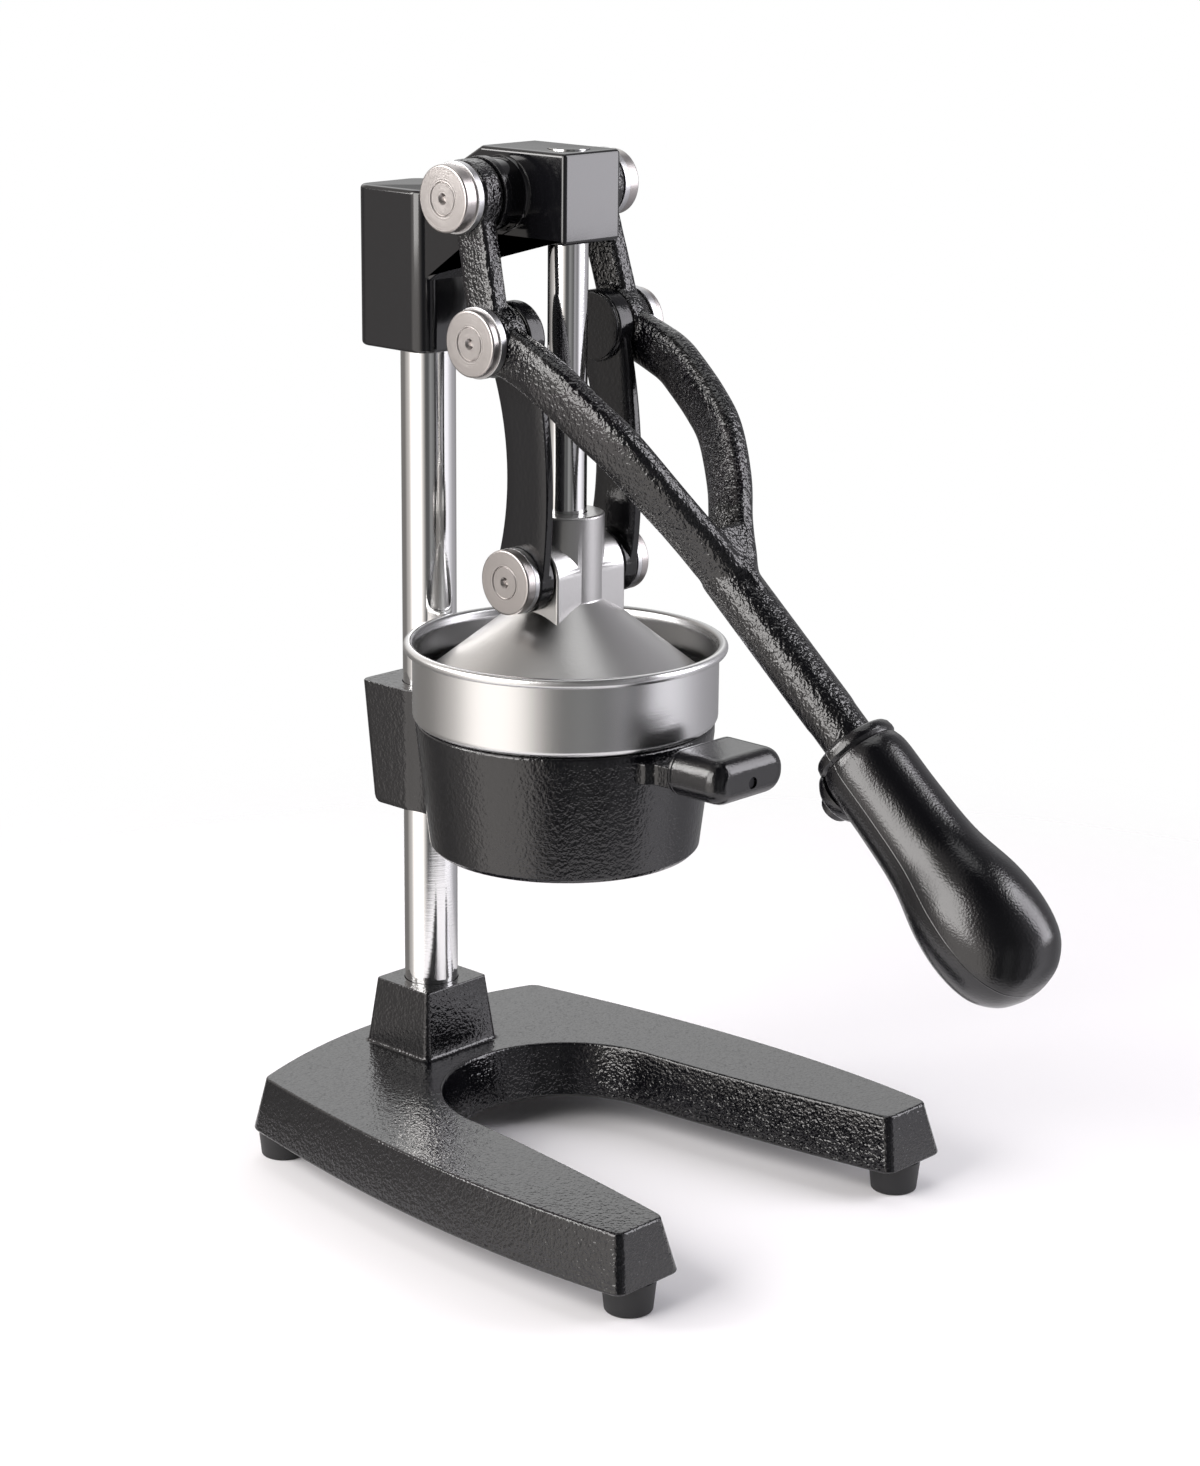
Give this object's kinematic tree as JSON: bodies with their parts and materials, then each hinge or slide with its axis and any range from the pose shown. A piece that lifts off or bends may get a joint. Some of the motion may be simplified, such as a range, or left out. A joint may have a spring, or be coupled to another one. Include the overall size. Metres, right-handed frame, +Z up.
{
  "type": "lever citrus juice press",
  "caption": "Hand lever citrus press on a forked base: a toggle of crank arms and bowed links drives a press cone on a ram rod into a strainer bowl held in a ring on the column.",
  "frame": {"origin": "on the floor plane, at the middle of the press's overall length and width", "axes": "+Z up, -Y to the front, where the lever's grip points, +X to the right"},
  "size_m": [0.1892, 0.3308, 0.3923],
  "materials": {
    "hammered_paint": "gloss black hammered paint on a casting",
    "gloss_paint": "smooth gloss black paint",
    "satin_paint": "smooth satin black paint",
    "chrome": "polished",
    "machined_steel": "turned",
    "zinc_steel": "zinc plated",
    "cast_aluminium": "satin, turned after casting",
    "stainless": "brushed",
    "grip_plastic": "semi-gloss black with a fine grain",
    "rubber": "matte"
  },
  "bodies": {
    "frame": {"base_casting": "hammered_paint", "foot_front_left": "rubber", "foot_front_right": "rubber", "foot_rear_left": "rubber", "foot_rear_right": "rubber", "foot_screw_front_left": "zinc_steel", "foot_screw_front_right": "zinc_steel", "foot_screw_rear_left": "zinc_steel", "foot_screw_rear_right": "zinc_steel", "column": "chrome", "column_bolt": "zinc_steel", "head_casting": "gloss_paint", "head_set_screw": "zinc_steel", "upper_shaft": "machined_steel", "upper_thrust_disc_left": "satin_paint", "upper_thrust_disc_right": "satin_paint", "upper_washer_left": "zinc_steel", "upper_washer_right": "zinc_steel", "upper_cap_left": "machined_steel", "upper_cap_right": "machined_steel", "cup_holder": "hammered_paint", "clamp_set_screw": "zinc_steel", "side_handle_grip": "grip_plastic", "side_handle_screw": "zinc_steel", "juice_bowl": "stainless", "strainer": "stainless"},
    "lever": {"lever_yoke": "hammered_paint", "lever_grip": "grip_plastic", "lever_grip_screw": "zinc_steel", "knee_pin_left": "machined_steel", "knee_pin_right": "machined_steel", "knee_washer_left": "zinc_steel", "knee_washer_right": "zinc_steel", "knee_cap_left": "machined_steel", "knee_cap_right": "machined_steel"},
    "ram": {"press_cone": "cast_aluminium", "ram_rod": "chrome", "cross_shaft": "machined_steel", "cross_washer_left": "zinc_steel", "cross_washer_right": "zinc_steel", "cross_cap_left": "machined_steel", "cross_cap_right": "machined_steel"},
    "link_left": {"lower_link_left": "satin_paint"},
    "link_right": {"lower_link_right": "satin_paint"}
  },
  "joints": [
    {"name": "lever_hinge", "type": "hinge", "parent": "frame", "child": "lever", "pos_m": [0, 0.07714, 0.3758], "axis": [-1, 0, 0], "range_deg": [0, 105]},
    {"name": "ram_slide", "type": "slide", "parent": "frame", "child": "ram", "axis": [0, 0, 1], "range_m": [0, 0.0797]},
    {"name": "link_left_hinge", "type": "hinge", "parent": "ram", "child": "link_left", "pos_m": [0, 0.05844, 0.238], "axis": [1, 0, 0], "range_deg": [0, 20.9]},
    {"name": "link_right_hinge", "type": "hinge", "parent": "ram", "child": "link_right", "pos_m": [0, 0.05844, 0.238], "axis": [1, 0, 0], "range_deg": [0, 20.9]}
  ],
  "couplings": [
    {"joint": "ram_slide", "follows": "lever_hinge", "m_per_rad": 0.043436},
    {"joint": "link_left_hinge", "follows": "lever_hinge", "ratio": 0.19825},
    {"joint": "link_right_hinge", "follows": "lever_hinge", "ratio": 0.19825}
  ]
}
